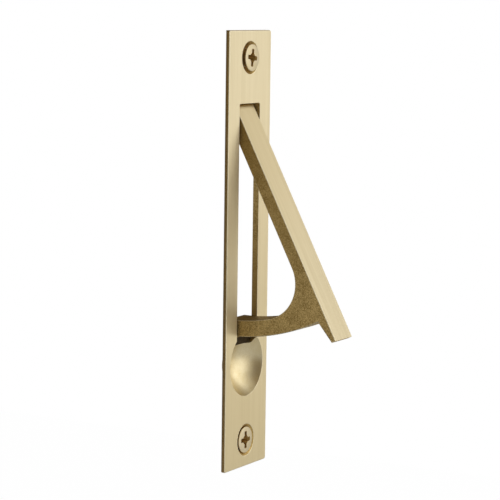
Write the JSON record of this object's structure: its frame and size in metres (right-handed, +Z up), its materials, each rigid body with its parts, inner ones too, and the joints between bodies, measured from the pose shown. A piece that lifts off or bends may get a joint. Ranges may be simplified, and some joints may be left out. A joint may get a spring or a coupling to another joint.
{
  "type": "pocket door edge pull",
  "caption": "Slim mortised faceplate for a pocket door's edge, with a hinged pull arm that swings out of a slot and a thumb dish below to hook it open.",
  "frame": {"origin": "half way between the two screws, in the plane of the faceplate's back", "axes": "+Z up the faceplate, +Y from the front face into the door's edge, +X to the right seen from the front"},
  "size_m": [0.019, 0.0317, 0.1016],
  "materials": {
    "plate_brass": "satin, brushed lengthwise",
    "arm_brass": "satin front, sand-cast sides",
    "pin_brass": "plain drawn",
    "screw_brass": "satin"
  },
  "bodies": {
    "plate": {"faceplate": "plate_brass", "pivot_pin": "pin_brass", "mounting_screws": "screw_brass"},
    "arm": {"pull_arm": "arm_brass"}
  },
  "joints": [
    {"name": "arm_swing", "type": "hinge", "parent": "plate", "child": "arm", "pos_m": [0, 0, 0.0305], "axis": [1, 0, 0], "range_deg": [0, 27.3]}
  ]
}
